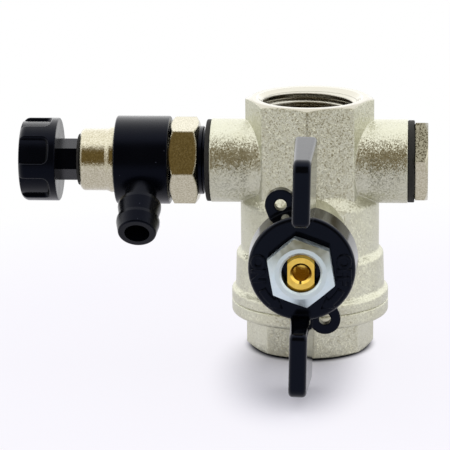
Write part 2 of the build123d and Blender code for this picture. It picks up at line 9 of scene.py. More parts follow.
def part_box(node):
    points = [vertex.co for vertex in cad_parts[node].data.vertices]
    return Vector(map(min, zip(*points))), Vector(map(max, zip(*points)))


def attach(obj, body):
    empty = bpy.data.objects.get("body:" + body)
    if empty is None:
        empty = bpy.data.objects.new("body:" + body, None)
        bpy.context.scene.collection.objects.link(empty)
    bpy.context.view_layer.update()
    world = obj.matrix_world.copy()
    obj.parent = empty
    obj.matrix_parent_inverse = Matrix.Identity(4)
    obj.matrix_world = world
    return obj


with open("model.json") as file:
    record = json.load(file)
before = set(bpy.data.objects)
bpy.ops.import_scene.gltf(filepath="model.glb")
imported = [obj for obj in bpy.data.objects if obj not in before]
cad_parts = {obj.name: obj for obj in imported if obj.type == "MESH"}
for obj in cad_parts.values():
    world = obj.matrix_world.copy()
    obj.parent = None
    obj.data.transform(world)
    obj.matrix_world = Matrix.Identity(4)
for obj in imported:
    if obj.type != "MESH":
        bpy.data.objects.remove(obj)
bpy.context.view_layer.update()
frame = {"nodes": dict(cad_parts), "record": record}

# Finishes, pipe threads and raised lettering of a nickel-plated ball valve with a drain cock.
# Metres, in the solids' frame: +Z up the flow axis, stem towards -Y, drain cock towards -X.

MM = 0.001

# Camera: where it stands, in degrees and millimetres, and how the picture is framed
VIEW_AZIMUTH = 4.39
VIEW_ELEVATION = 14.39
VIEW_ROLL = -0.62
VIEW_CENTRE = Vector((0, 0, 30)) * MM
VIEW_DISTANCE = 579.8 * MM
VIEW_ASIDE = -18.93 * MM
VIEW_RAISED = -2.45 * MM
SENSOR_WIDTH = 36.0
LENS_LENGTH = 208.0
CLIP_START = 10 * MM

# Half-inch pipe thread: its standard sizes, and how its ridge is drawn
THREAD_PITCH = 1.814 * MM
THREAD_DEPTH = 1.162 * MM
THREAD_MAJOR_RADIUS = 10.478 * MM
THREAD_SINK = 0.06 * MM
THREAD_STEPS = 96
THREAD_RUN_OUT = 0.8
THREAD_HALF_SHARE = 0.47
THREAD_END_SHARE = 0.1
# One flank of the rounded ridge, as (height share, distance from the ridge's middle)
THREAD_RISE = [
    (-0.05, 1.0), (0.05, 0.95), (0.13, 0.87), (0.2, 0.8),
    (0.8, 0.26), (0.87, 0.2), (0.95, 0.13), (1.0, 0.05),
]
# Where the ridges start and end, from the end face inwards, and the angle each starts at
UPPER_THREAD_DEEP = 11.4 * MM
UPPER_THREAD_MOUTH = 0.5 * MM
UPPER_THREAD_START = 234
LOWER_THREAD_MOUTH = 0.7 * MM
LOWER_THREAD_DEEP = 10.0 * MM
LOWER_THREAD_START = 0

# Raised marks on the handle's hub, arrow angles in degrees below level
MARK_HEIGHT = 0.4 * MM
MARK_EDGE = 0.17 * MM
LETTER_SIZE = 3.9 * MM
LETTER_WEIGHT = 0.10 * MM
LETTER_SPACING = 0.92
LETTER_LEFT = -9.15 * MM
LETTER_RIGHT = 8.7 * MM
ARROW_RADIUS = 9.35 * MM
ARROW_WIDTH = 1.3 * MM
ARROW_HEAD_WIDTH = 2.6 * MM
ARROW_START = 29
ARROW_NECK = 50
ARROW_TIP = 63
ARROW_STEPS = 10

# Sockets: everything inside this radius and on the end faces is turned, not blasted
TURNED_RADIUS = 11.8 * MM
TURNED_END_DEPTH = 1.3 * MM
LEVEL_FACING = 0.6

# Grit marks of the blasted casting in millimetres, how far their facets lean, and the much
# flatter facets that a tool leaves
GRIT_SIZE = 0.23
GRIT_LEAN = 0.42
TOOL_LEAN = 0.09

# The plug's upper flat, blasted harder than the casting and painted darker as shade
PLUG_FLAT_START = 23.0 * MM
PLUG_FLAT_FACING = 0.4
PLUG_GRIT = 1.7

# Radius by which plating and enamel soften an edge in the light, without changing the shape
SOFT_EDGE = 0.5 * MM
EDGE_SAMPLES = 4

# Studio floor: paper near the valve that turns into white between the two fade distances
FLOOR_REACH = 4.0
FLOOR_FRONT = -0.42
FLOOR_FADE_START = 75 * MM
FLOOR_FADE_END = 165 * MM
# Painted shadow: a dark ring painted on the paper where the lower socket meets it, between two distances
# from the flow axis
CONTACT_SHADOW_START = 12.6 * MM
CONTACT_SHADOW_END = 15.3 * MM
# Patch below the handle in which the paper shows its full shadow
SHADOW_CENTRE = Vector((-3, -22, 0)) * MM
SHADOW_STRETCH = (1.0, 0.45, 1.0)
SHADOW_CORE = 6 * MM
SHADOW_REACH = 20 * MM
SHADOW_GLOW = 0.9

# Studio surroundings: brightness of the white sweep in reflections, and the edges of the dim
# room, each from where it starts to where it is full, as parts of a direction
SWEEP_GLARE = 1.7
ROOM_SIDES = (1.0, 0.62)
ROOM_FRONT = (-0.15, -0.68)
ROOM_FLOOR = (-0.44, -0.22)
ROOM_TOP = (0.96, 0.78)

# Overhead lamp, in metres and watts
LAMP_PLACE = (-0.05, 0.5, 0.75)
LAMP_AIM = (0, 0, 0.03)
LAMP_WIDTH = 1.2
LAMP_DEPTH = 0.8
LAMP_POWER = 2.0

_, BODY_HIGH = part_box("valve_body")
CONNECTOR_LOW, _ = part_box("end_connector")
NUT_LOW, NUT_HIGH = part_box("handle_nut")
STEM_HEIGHT = (NUT_LOW.z + NUT_HIGH.z) / 2
HUB_FACE = NUT_HIGH.y
VALVE_MIDDLE = BODY_HIGH.z / 2


def linear(hex_colour):
    """sRGB hex colour as linear red, green, blue and alpha."""
    channels = [int(hex_colour[i:i + 2], 16) / 255 for i in (1, 3, 5)]
    return [c / 12.92 if c <= 0.04045 else ((c + 0.055) / 1.055) ** 2.4 for c in channels] + [1.0]


def per_mm(size):
    """Pattern scale whose features are size millimetres wide."""
    return 1 / (size * MM)


def add(tree, kind, settings, inputs):
    """Add a node, set its properties, and link or set its inputs by name or number."""
    node = tree.nodes.new(kind)
    for name, value in settings.items():
        setattr(node, name, value)
    for socket, value in inputs.items():
        if isinstance(value, bpy.types.NodeSocket):
            tree.links.new(value, node.inputs[socket])
        else:
            node.inputs[socket].default_value = value
    return node


def new_material(name):
    """Empty node material and its tree."""
    material = bpy.data.materials.new(name)
    material.use_nodes = True
    material.node_tree.nodes.clear()
    return material, material.node_tree


def leaning_facets(tree, random_colour, lean):
    """Normal of small facets that each lean a random way, by up to half of lean."""
    shape = add(tree, "ShaderNodeBevel", {"samples": EDGE_SAMPLES}, {"Radius": SOFT_EDGE})
    tilt = add(tree, "ShaderNodeVectorMath", {"operation": "SUBTRACT"}, {
        0: random_colour, 1: (0.5, 0.5, 0.5)})
    scaled = add(tree, "ShaderNodeVectorMath", {"operation": "SCALE"}, {
        0: tilt.outputs["Vector"], "Scale": lean})
    summed = add(tree, "ShaderNodeVectorMath", {"operation": "ADD"}, {
        0: shape.outputs["Normal"], 1: scaled.outputs["Vector"]})
    unit = add(tree, "ShaderNodeVectorMath", {"operation": "NORMALIZE"}, {0: summed.outputs["Vector"]})
    return unit.outputs["Vector"]


def blasted_nickel():
    """Cast brass, blasted with grit and nickel plated: a warm pale grey broken up into fine
    sparkling grain, with smooth bright faces where the sockets were turned."""
    material, tree = new_material("nickel_plated_blasted_casting")
    place = add(tree, "ShaderNodeTexCoord", {}, {})
    point = place.outputs["Object"]
    facets = add(tree, "ShaderNodeTexVoronoi", {}, {"Vector": point, "Scale": per_mm(GRIT_SIZE)})
    grain = add(tree, "ShaderNodeTexNoise", {}, {"Vector": point, "Scale": per_mm(0.2), "Detail": 2.0})
    mottle = add(tree, "ShaderNodeTexNoise", {}, {
        "Vector": point, "Scale": per_mm(4.0), "Detail": 2.0, "Roughness": 0.5})
    pits = add(tree, "ShaderNodeTexVoronoi", {}, {"Vector": point, "Scale": per_mm(1.4)})

    # Turned zones: inside the sockets, and the level faces at both ends
    axes = add(tree, "ShaderNodeSeparateXYZ", {}, {"Vector": point})
    flat = add(tree, "ShaderNodeCombineXYZ", {}, {"X": axes.outputs["X"], "Y": axes.outputs["Y"]})
    radius = add(tree, "ShaderNodeVectorMath", {"operation": "LENGTH"}, {0: flat.outputs["Vector"]})
    inside = add(tree, "ShaderNodeMath", {"operation": "LESS_THAN"}, {
        0: radius.outputs["Value"], 1: TURNED_RADIUS})
    slant = add(tree, "ShaderNodeSeparateXYZ", {}, {"Vector": place.outputs["Normal"]})
    steep = add(tree, "ShaderNodeMath", {"operation": "ABSOLUTE"}, {0: slant.outputs["Z"]})
    level = add(tree, "ShaderNodeMath", {"operation": "GREATER_THAN"}, {
        0: steep.outputs[0], 1: LEVEL_FACING})
    height = add(tree, "ShaderNodeMath", {"operation": "SUBTRACT"}, {
        0: axes.outputs["Z"], 1: VALVE_MIDDLE})
    off_middle = add(tree, "ShaderNodeMath", {"operation": "ABSOLUTE"}, {0: height.outputs[0]})
    at_end = add(tree, "ShaderNodeMath", {"operation": "GREATER_THAN"}, {
        0: off_middle.outputs[0], 1: VALVE_MIDDLE - TURNED_END_DEPTH})
    end_face = add(tree, "ShaderNodeMath", {"operation": "MULTIPLY"}, {
        0: level.outputs[0], 1: at_end.outputs[0]})
    turned = add(tree, "ShaderNodeMath", {"operation": "MAXIMUM"}, {
        0: inside.outputs[0], 1: end_face.outputs[0]})

    speckle = add(tree, "ShaderNodeMapRange", {}, {
        "Value": grain.outputs["Fac"], "From Min": 0.35, "From Max": 0.62, "To Min": 0.0, "To Max": 1.0})
    cast_colour = add(tree, "ShaderNodeMix", {"data_type": "RGBA"}, {
        0: speckle.outputs["Result"], 6: linear("#C2C2B1"), 7: linear("#D1D1C2")})
    clouded = add(tree, "ShaderNodeMix", {"data_type": "RGBA", "blend_type": "MULTIPLY"}, {
        0: mottle.outputs["Fac"], 6: cast_colour.outputs[2], 7: linear("#F0EEE6")})
    pit = add(tree, "ShaderNodeMapRange", {}, {
        "Value": pits.outputs["Distance"], "From Min": 0.05, "From Max": 0.16,
        "To Min": 0.55, "To Max": 1.0})
    pitted = add(tree, "ShaderNodeMix", {"data_type": "RGBA"}, {
        0: pit.outputs["Result"], 6: linear("#8C8162"), 7: clouded.outputs[2]})
    turned_colour = add(tree, "ShaderNodeMix", {"data_type": "RGBA"}, {
        0: inside.outputs[0], 6: linear("#AAA698"), 7: linear("#BFBCB0")})
    colour = add(tree, "ShaderNodeMix", {"data_type": "RGBA"}, {
        0: turned.outputs[0], 6: pitted.outputs[2], 7: turned_colour.outputs[2]})
    roughness = add(tree, "ShaderNodeMapRange", {}, {
        "Value": turned.outputs[0], "To Min": 0.38, "To Max": 0.12})
    lean = add(tree, "ShaderNodeMapRange", {}, {
        "Value": turned.outputs[0], "To Min": GRIT_LEAN, "To Max": 0.0})
    facet_normal = leaning_facets(tree, facets.outputs["Color"], lean.outputs["Result"])
    bump = add(tree, "ShaderNodeBump", {}, {
        "Height": grain.outputs["Fac"], "Strength": 0.1, "Distance": 0.1 * MM, "Normal": facet_normal})
    shader = add(tree, "ShaderNodeBsdfPrincipled", {}, {
        "Base Color": colour.outputs[2], "Metallic": 1.0, "Roughness": roughness.outputs["Result"],
        "Normal": bump.outputs["Normal"]})
    add(tree, "ShaderNodeOutputMaterial", {}, {"Surface": shader.outputs["BSDF"]})
    return material


def turned_nickel():
    """Drawn brass bar, turned and nickel plated: brighter than the casting, faint rings from
    the tool along the drain's axis and a fine speckle on the hexagons' drawn flats."""
    material, tree = new_material("nickel_plated_turned_brass")
    place = add(tree, "ShaderNodeTexCoord", {}, {})
    point = place.outputs["Object"]
    rings_place = add(tree, "ShaderNodeMapping", {}, {
        "Vector": point, "Scale": (per_mm(0.12), per_mm(9.0), per_mm(9.0))})
    rings = add(tree, "ShaderNodeTexNoise", {}, {
        "Vector": rings_place.outputs["Vector"], "Scale": 1.0, "Detail": 2.0})
    speckle = add(tree, "ShaderNodeTexNoise", {}, {
        "Vector": point, "Scale": per_mm(0.35), "Detail": 2.0, "Roughness": 0.6})
    fleck = add(tree, "ShaderNodeMapRange", {}, {
        "Value": speckle.outputs["Fac"], "From Min": 0.38, "From Max": 0.62})
    colour = add(tree, "ShaderNodeMix", {"data_type": "RGBA"}, {
        0: fleck.outputs["Result"], 6: linear("#AAA48D"), 7: linear("#C6C1AD")})
    roughness = add(tree, "ShaderNodeMapRange", {}, {
        "Value": speckle.outputs["Fac"], "From Min": 0.3, "From Max": 0.7,
        "To Min": 0.13, "To Max": 0.22})
    facets = add(tree, "ShaderNodeTexVoronoi", {}, {"Vector": point, "Scale": per_mm(GRIT_SIZE)})
    ring_bump = add(tree, "ShaderNodeBump", {}, {
        "Height": rings.outputs["Fac"], "Strength": 0.12, "Distance": 0.05 * MM,
        "Normal": leaning_facets(tree, facets.outputs["Color"], TOOL_LEAN)})
    bump = add(tree, "ShaderNodeBump", {}, {
        "Height": speckle.outputs["Fac"], "Strength": 0.4, "Distance": 0.08 * MM,
        "Normal": ring_bump.outputs["Normal"]})
    smooth = add(tree, "ShaderNodeBsdfPrincipled", {}, {
        "Base Color": colour.outputs[2], "Metallic": 1.0, "Roughness": roughness.outputs["Result"],
        "Normal": bump.outputs["Normal"]})

    # The plug's upper flat kept its rough blasted skin, and its darker colour there is painted shade
    axes = add(tree, "ShaderNodeSeparateXYZ", {}, {"Vector": point})
    slant = add(tree, "ShaderNodeSeparateXYZ", {}, {"Vector": place.outputs["Normal"]})
    on_plug = add(tree, "ShaderNodeMath", {"operation": "GREATER_THAN"}, {
        0: axes.outputs["X"], 1: PLUG_FLAT_START})
    upward = add(tree, "ShaderNodeMath", {"operation": "GREATER_THAN"}, {
        0: slant.outputs["Z"], 1: PLUG_FLAT_FACING})
    rough_shaded_flat = add(tree, "ShaderNodeMath", {"operation": "MULTIPLY"}, {
        0: on_plug.outputs[0], 1: upward.outputs[0]})
    facet_normal = leaning_facets(tree, facets.outputs["Color"], PLUG_GRIT * GRIT_LEAN)
    # Rough facets are real; the dark base colour on this upward-facing flat is painted shade
    rough_shaded_skin = add(tree, "ShaderNodeBsdfPrincipled", {}, {
        "Base Color": linear("#84806E"), "Metallic": 1.0, "Roughness": 0.3, "Normal": facet_normal})
    surface = add(tree, "ShaderNodeMixShader", {}, {
        0: rough_shaded_flat.outputs[0], 1: smooth.outputs["BSDF"], 2: rough_shaded_skin.outputs["BSDF"]})
    add(tree, "ShaderNodeOutputMaterial", {}, {"Surface": surface.outputs["Shader"]})
    return material


def gloss_enamel():
    """Black stoving enamel on a zinc die casting: deep blue-black with a wet gloss and the
    slight waviness of a thick coat."""
    material, tree = new_material("gloss_black_stoving_enamel")
    place = add(tree, "ShaderNodeTexCoord", {}, {})
    wave = add(tree, "ShaderNodeTexNoise", {}, {
        "Vector": place.outputs["Object"], "Scale": per_mm(2.2), "Detail": 2.0})
    fleck = add(tree, "ShaderNodeTexNoise", {}, {
        "Vector": place.outputs["Object"], "Scale": per_mm(0.5), "Detail": 2.0})
    colour = add(tree, "ShaderNodeMix", {"data_type": "RGBA"}, {
        0: fleck.outputs["Fac"], 6: linear("#020306"), 7: linear("#05060A")})
    roughness = add(tree, "ShaderNodeMapRange", {}, {
        "Value": wave.outputs["Fac"], "From Min": 0.3, "From Max": 0.7, "To Min": 0.07, "To Max": 0.13})
    rounded = add(tree, "ShaderNodeBevel", {"samples": EDGE_SAMPLES}, {"Radius": SOFT_EDGE})
    bump = add(tree, "ShaderNodeBump", {}, {
        "Height": wave.outputs["Fac"], "Strength": 0.10, "Distance": 0.10 * MM,
        "Normal": rounded.outputs["Normal"]})
    shader = add(tree, "ShaderNodeBsdfPrincipled", {}, {
        "Base Color": colour.outputs[2], "Roughness": roughness.outputs["Result"], "IOR": 1.5,
        "Specular Tint": linear("#68718C"), "Normal": bump.outputs["Normal"]})
    add(tree, "ShaderNodeOutputMaterial", {}, {"Surface": shader.outputs["BSDF"]})
    return material


def zinc_plate():
    """Bright zinc plating on a cold-formed steel nut: bluish white, satin, with fine scuffs."""
    material, tree = new_material("bright_zinc_plated_steel")
    place = add(tree, "ShaderNodeTexCoord", {}, {})
    haze = add(tree, "ShaderNodeTexNoise", {}, {
        "Vector": place.outputs["Object"], "Scale": per_mm(1.2), "Detail": 3.0})
    scuffs = add(tree, "ShaderNodeTexNoise", {}, {
        "Vector": place.outputs["Object"], "Scale": per_mm(0.25), "Detail": 2.0})
    colour = add(tree, "ShaderNodeMix", {"data_type": "RGBA"}, {
        0: haze.outputs["Fac"], 6: linear("#C2D4DC"), 7: linear("#E4EEF3")})
    roughness = add(tree, "ShaderNodeMapRange", {}, {
        "Value": haze.outputs["Fac"], "From Min": 0.3, "From Max": 0.7, "To Min": 0.36, "To Max": 0.50})
    bump = add(tree, "ShaderNodeBump", {}, {
        "Height": scuffs.outputs["Fac"], "Strength": 0.10, "Distance": 0.04 * MM})
    shader = add(tree, "ShaderNodeBsdfPrincipled", {}, {
        "Base Color": colour.outputs[2], "Metallic": 1.0, "Roughness": roughness.outputs["Result"],
        "Normal": bump.outputs["Normal"]})
    add(tree, "ShaderNodeOutputMaterial", {}, {"Surface": shader.outputs["BSDF"]})
    return material


def bare_brass():
    """Bare turned brass: golden and bright, with fine tool marks and a little tarnish."""
    material, tree = new_material("bare_turned_brass")
    place = add(tree, "ShaderNodeTexCoord", {}, {})
    marks = add(tree, "ShaderNodeTexNoise", {}, {
        "Vector": place.outputs["Object"], "Scale": per_mm(0.3), "Detail": 2.0})
    tarnish = add(tree, "ShaderNodeTexNoise", {}, {
        "Vector": place.outputs["Object"], "Scale": per_mm(1.6), "Detail": 2.0})
    colour = add(tree, "ShaderNodeMix", {"data_type": "RGBA"}, {
        0: tarnish.outputs["Fac"], 6: linear("#C49A36"), 7: linear("#EACB6C")})
    bump = add(tree, "ShaderNodeBump", {}, {
        "Height": marks.outputs["Fac"], "Strength": 0.12, "Distance": 0.05 * MM})
    shader = add(tree, "ShaderNodeBsdfPrincipled", {}, {
        "Base Color": colour.outputs[2], "Metallic": 1.0, "Roughness": 0.15,
        "Normal": bump.outputs["Normal"]})
    add(tree, "ShaderNodeOutputMaterial", {}, {"Surface": shader.outputs["BSDF"]})
    return material


def hard_chrome():
    """Hard chrome on the polished ball: a cool mirror with a faint haze."""
    material, tree = new_material("hard_chrome_polished_ball")
    place = add(tree, "ShaderNodeTexCoord", {}, {})
    haze = add(tree, "ShaderNodeTexNoise", {}, {
        "Vector": place.outputs["Object"], "Scale": per_mm(1.5), "Detail": 2.0})
    roughness = add(tree, "ShaderNodeMapRange", {}, {
        "Value": haze.outputs["Fac"], "To Min": 0.05, "To Max": 0.14})
    shader = add(tree, "ShaderNodeBsdfPrincipled", {}, {
        "Base Color": linear("#D9DADC"), "Metallic": 1.0, "Roughness": roughness.outputs["Result"]})
    add(tree, "ShaderNodeOutputMaterial", {}, {"Surface": shader.outputs["BSDF"]})
    return material


def seat_fluoroplastic():
    """Turned fluoroplastic of the seats and washers: waxy white with a soft sheen."""
    material, tree = new_material("turned_white_fluoroplastic")
    place = add(tree, "ShaderNodeTexCoord", {}, {})
    wax = add(tree, "ShaderNodeTexNoise", {}, {
        "Vector": place.outputs["Object"], "Scale": per_mm(0.8), "Detail": 2.0})
    colour = add(tree, "ShaderNodeMix", {"data_type": "RGBA"}, {
        0: wax.outputs["Fac"], 6: linear("#E2E1DA"), 7: linear("#F1F0EA")})
    shader = add(tree, "ShaderNodeBsdfPrincipled", {}, {
        "Base Color": colour.outputs[2], "Roughness": 0.42, "IOR": 1.38})
    add(tree, "ShaderNodeOutputMaterial", {}, {"Surface": shader.outputs["BSDF"]})
    return material


def pressed_rubber():
    """Rubber cut and pressed from sheet: dull charcoal with a fibrous tooth that catches light."""
    material, tree = new_material("pressed_black_rubber")
    place = add(tree, "ShaderNodeTexCoord", {}, {})
    fibre = add(tree, "ShaderNodeTexNoise", {}, {
        "Vector": place.outputs["Object"], "Scale": per_mm(0.45), "Detail": 3.0, "Roughness": 0.7})
    colour = add(tree, "ShaderNodeMix", {"data_type": "RGBA"}, {
        0: fibre.outputs["Fac"], 6: linear("#131312"), 7: linear("#35342F")})
    bump = add(tree, "ShaderNodeBump", {}, {
        "Height": fibre.outputs["Fac"], "Strength": 0.5, "Distance": 0.12 * MM})
    shader = add(tree, "ShaderNodeBsdfPrincipled", {}, {
        "Base Color": colour.outputs[2], "Roughness": 0.75, "IOR": 1.5, "Specular IOR Level": 0.3,
        "Normal": bump.outputs["Normal"]})
    add(tree, "ShaderNodeOutputMaterial", {}, {"Surface": shader.outputs["BSDF"]})
    return material


def moulded_nylon():
    """Moulded black nylon of the knob and the hose tail: blue-black satin with the fine
    spark-eroded grain of its mould and a few dust specks."""
    material, tree = new_material("moulded_black_nylon")
    place = add(tree, "ShaderNodeTexCoord", {}, {})
    point = place.outputs["Object"]
    grain = add(tree, "ShaderNodeTexNoise", {}, {"Vector": point, "Scale": per_mm(0.3), "Detail": 2.0})
    flow = add(tree, "ShaderNodeTexNoise", {}, {"Vector": point, "Scale": per_mm(5.0), "Detail": 2.0})
    dust = add(tree, "ShaderNodeTexVoronoi", {}, {
        "Vector": point, "Scale": per_mm(3.2), "Randomness": 1.0})
    speck = add(tree, "ShaderNodeMapRange", {}, {
        "Value": dust.outputs["Distance"], "From Min": 0.02, "From Max": 0.045,
        "To Min": 1.0, "To Max": 0.0})
    base = add(tree, "ShaderNodeMix", {"data_type": "RGBA"}, {
        0: flow.outputs["Fac"], 6: linear("#020307"), 7: linear("#06070B")})
    colour = add(tree, "ShaderNodeMix", {"data_type": "RGBA"}, {
        0: speck.outputs["Result"], 6: base.outputs[2], 7: linear("#3A3C44")})
    roughness = add(tree, "ShaderNodeMapRange", {}, {
        "Value": flow.outputs["Fac"], "From Min": 0.3, "From Max": 0.7, "To Min": 0.22, "To Max": 0.30})
    bump = add(tree, "ShaderNodeBump", {}, {
        "Height": grain.outputs["Fac"], "Strength": 0.10, "Distance": 0.05 * MM})
    shader = add(tree, "ShaderNodeBsdfPrincipled", {}, {
        "Base Color": colour.outputs[2], "Roughness": roughness.outputs["Result"], "IOR": 1.53,
        "Specular Tint": linear("#4A5068"), "Normal": bump.outputs["Normal"]})
    add(tree, "ShaderNodeOutputMaterial", {}, {"Surface": shader.outputs["BSDF"]})
    return material


def finish_nodes(finishes):
    """Give every solid the finish of its material slot."""
    for row in frame["record"]["subparts"]:
        solid = frame["nodes"][row["node"]]
        solid.data.materials.clear()
        solid.data.materials.append(finishes[row["material_slot"]])


def new_piece(name, data, material, body):
    """Link a piece that rides on a body, with its finish."""
    piece = bpy.data.objects.new(name, data)
    bpy.context.scene.collection.objects.link(piece)
    data.materials.append(material)
    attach(piece, body)


def thread_section():
    """Outline of the rounded ridge across the thread, as (height share, distance along the axis)."""
    half = THREAD_HALF_SHARE * THREAD_PITCH
    left = [(share, -side * half) for share, side in THREAD_RISE]
    right = [(share, side * half) for share, side in reversed(THREAD_RISE)]
    return left + right


def pipe_thread(name, low, high, start_angle, material):
    """Ridge of a right-handed pipe thread inside a socket, from one height to another."""
    mesh = bpy.data.meshes.new(name)
    shape = bmesh.new()
    turns = (high - low) / THREAD_PITCH
    steps = round(turns * THREAD_STEPS)
    section = thread_section()
    rows = []
    for step in range(steps + 1):
        turn = step / THREAD_STEPS
        fade = min(1.0, turn / THREAD_RUN_OUT, (steps / THREAD_STEPS - turn) / THREAD_RUN_OUT)
        angle = start_angle + 2 * math.pi * turn
        row = []
        for share, along in section:
            radius = THREAD_MAJOR_RADIUS + THREAD_SINK - (THREAD_DEPTH + THREAD_SINK) * share * fade
            height = low + turn * THREAD_PITCH + along * max(fade, THREAD_END_SHARE)
            row.append(shape.verts.new((radius * math.cos(angle), radius * math.sin(angle), height)))
        rows.append(row)
    count = len(section)
    for row, following in zip(rows, rows[1:]):
        for i in range(count):
            j = (i + 1) % count
            shape.faces.new((row[i], row[j], following[j], following[i]))
    shape.faces.new(rows[0])
    shape.faces.new(reversed(rows[-1]))
    bmesh.ops.recalc_face_normals(shape, faces=shape.faces)
    shape.to_mesh(mesh)
    shape.free()
    mesh.shade_smooth()
    new_piece(name, mesh, material, "valve")


def mark_place(across):
    """Matrix of a mark on the hub's face whose writing runs down and whose top points to +X."""
    turn = Matrix(((0, 1, 0), (0, 0, -1), (-1, 0, 0))).to_4x4()
    return Matrix.Translation((across, HUB_FACE, STEM_HEIGHT)) @ turn


def hub_word(name, word, across, material):
    """Raised word beside the nut, read from top to bottom."""
    text = bpy.data.curves.new(name, "FONT")
    text.body = word
    text.align_x = "CENTER"
    text.align_y = "CENTER"
    text.size = LETTER_SIZE
    text.space_character = LETTER_SPACING
    text.offset = LETTER_WEIGHT
    text.extrude = MARK_HEIGHT - MARK_EDGE
    text.bevel_depth = MARK_EDGE
    text.bevel_resolution = 2
    piece = bpy.data.objects.new(name, text)
    piece.matrix_world = mark_place(across)
    bpy.context.scene.collection.objects.link(piece)
    text.materials.append(material)
    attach(piece, "handle_set")


def hub_arrow(name, side, material):
    """Raised arrow bent along the hub's rim towards the lower wing, on one side of the nut."""
    inner = ARROW_RADIUS - ARROW_WIDTH / 2
    outer = ARROW_RADIUS + ARROW_WIDTH / 2
    sweep = [ARROW_START + (ARROW_NECK - ARROW_START) * i / ARROW_STEPS
             for i in range(ARROW_STEPS + 1)]
    outline = [(outer, angle) for angle in sweep]
    outline += [(ARROW_RADIUS + ARROW_HEAD_WIDTH / 2, ARROW_NECK), (ARROW_RADIUS, ARROW_TIP)]
    outline += [(ARROW_RADIUS - ARROW_HEAD_WIDTH / 2, ARROW_NECK)]
    outline += [(inner, angle) for angle in reversed(sweep)]
    curve = bpy.data.curves.new(name, "CURVE")
    curve.dimensions = "2D"
    curve.fill_mode = "BOTH"
    curve.extrude = MARK_HEIGHT - MARK_EDGE
    curve.bevel_depth = MARK_EDGE
    curve.bevel_resolution = 2
    spline = curve.splines.new("POLY")
    spline.points.add(len(outline) - 1)
    for point, (radius, angle) in zip(spline.points, outline):
        bend = math.radians(angle)
        point.co = (radius * math.sin(bend), side * radius * math.cos(bend), 0, 1)
    spline.use_cyclic_u = True
    piece = bpy.data.objects.new(name, curve)
    piece.matrix_world = mark_place(0)
    bpy.context.scene.collection.objects.link(piece)
    curve.materials.append(material)
    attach(piece, "handle_set")


def studio_floor():
    """Pale paper that shows the shadow near the valve, with a dark ring of painted contact shadow around
    the lower socket, and turns into white further away.
    """
    material, tree = new_material("pale_paper_floor")
    place = add(tree, "ShaderNodeTexCoord", {}, {})
    offset = add(tree, "ShaderNodeVectorMath", {"operation": "SUBTRACT"}, {
        0: place.outputs["Object"], 1: SHADOW_CENTRE})
    distance = add(tree, "ShaderNodeVectorMath", {"operation": "LENGTH"}, {0: offset.outputs["Vector"]})
    fade = add(tree, "ShaderNodeMapRange", {"interpolation_type": "SMOOTHSTEP"}, {
        "Value": distance.outputs["Value"], "From Min": FLOOR_FADE_START, "From Max": FLOOR_FADE_END})
    squeezed = add(tree, "ShaderNodeVectorMath", {"operation": "MULTIPLY"}, {
        0: offset.outputs["Vector"], 1: SHADOW_STRETCH})
    spread = add(tree, "ShaderNodeVectorMath", {"operation": "LENGTH"}, {0: squeezed.outputs["Vector"]})
    glow = add(tree, "ShaderNodeMapRange", {"interpolation_type": "SMOOTHSTEP"}, {
        "Value": spread.outputs["Value"], "From Min": SHADOW_CORE, "From Max": SHADOW_REACH,
        "To Min": 0.0, "To Max": SHADOW_GLOW})
    whitened = add(tree, "ShaderNodeMath", {"operation": "MAXIMUM"}, {
        0: fade.outputs["Result"], 1: glow.outputs["Result"]})
    tooth = add(tree, "ShaderNodeTexNoise", {}, {
        "Vector": place.outputs["Object"], "Scale": per_mm(1.0)})
    paper_colour = add(tree, "ShaderNodeMix", {"data_type": "RGBA"}, {
        0: tooth.outputs["Fac"], 6: linear("#F3F2F9"), 7: linear("#F7F6FC")})
    # Painted shadow: the paper is darkened in a ring around the lower socket's footprint, and the white
    # glow is held off there too
    radius = add(tree, "ShaderNodeVectorMath", {"operation": "LENGTH"}, {0: place.outputs["Object"]})
    contact_shadow = add(tree, "ShaderNodeMapRange", {"interpolation_type": "SMOOTHSTEP"}, {
        "Value": radius.outputs["Value"], "From Min": CONTACT_SHADOW_START, "From Max": CONTACT_SHADOW_END})
    contact_shadow_colour = add(tree, "ShaderNodeMix", {"data_type": "RGBA"}, {
        0: contact_shadow.outputs["Result"], 6: linear("#34343A"), 7: paper_colour.outputs[2]})
    paper = add(tree, "ShaderNodeBsdfDiffuse", {}, {"Color": contact_shadow_colour.outputs[2]})
    glow_colour = add(tree, "ShaderNodeMix", {"data_type": "RGBA"}, {
        0: fade.outputs["Result"], 6: linear("#FBF9FF"), 7: linear("#FFFFFF")})
    white = add(tree, "ShaderNodeEmission", {}, {"Color": glow_colour.outputs[2], "Strength": 1.0})
    ray = add(tree, "ShaderNodeLightPath", {}, {})
    mirrored = add(tree, "ShaderNodeMath", {"operation": "MAXIMUM"}, {
        0: ray.outputs["Is Camera Ray"], 1: ray.outputs["Is Glossy Ray"]})
    seen = add(tree, "ShaderNodeMath", {"operation": "MAXIMUM"}, {
        0: mirrored.outputs[0], 1: ray.outputs["Is Transmission Ray"]})
    outside = add(tree, "ShaderNodeMath", {"operation": "MULTIPLY"}, {
        0: whitened.outputs[0], 1: contact_shadow.outputs["Result"]})
    share = add(tree, "ShaderNodeMath", {"operation": "MULTIPLY"}, {
        0: outside.outputs[0], 1: seen.outputs[0]})
    surface = add(tree, "ShaderNodeMixShader", {}, {
        0: share.outputs[0], 1: paper.outputs["BSDF"], 2: white.outputs["Emission"]})
    add(tree, "ShaderNodeOutputMaterial", {}, {"Surface": surface.outputs["Shader"]})

    mesh = bpy.data.meshes.new("floor")
    corners = [(-FLOOR_REACH, FLOOR_FRONT, 0), (FLOOR_REACH, FLOOR_FRONT, 0),
               (FLOOR_REACH, FLOOR_REACH, 0), (-FLOOR_REACH, FLOOR_REACH, 0)]
    mesh.from_pydata(corners, [], [(0, 1, 2, 3)])
    mesh.materials.append(material)
    floor = bpy.data.objects.new("floor", mesh)
    bpy.context.scene.collection.objects.link(floor)


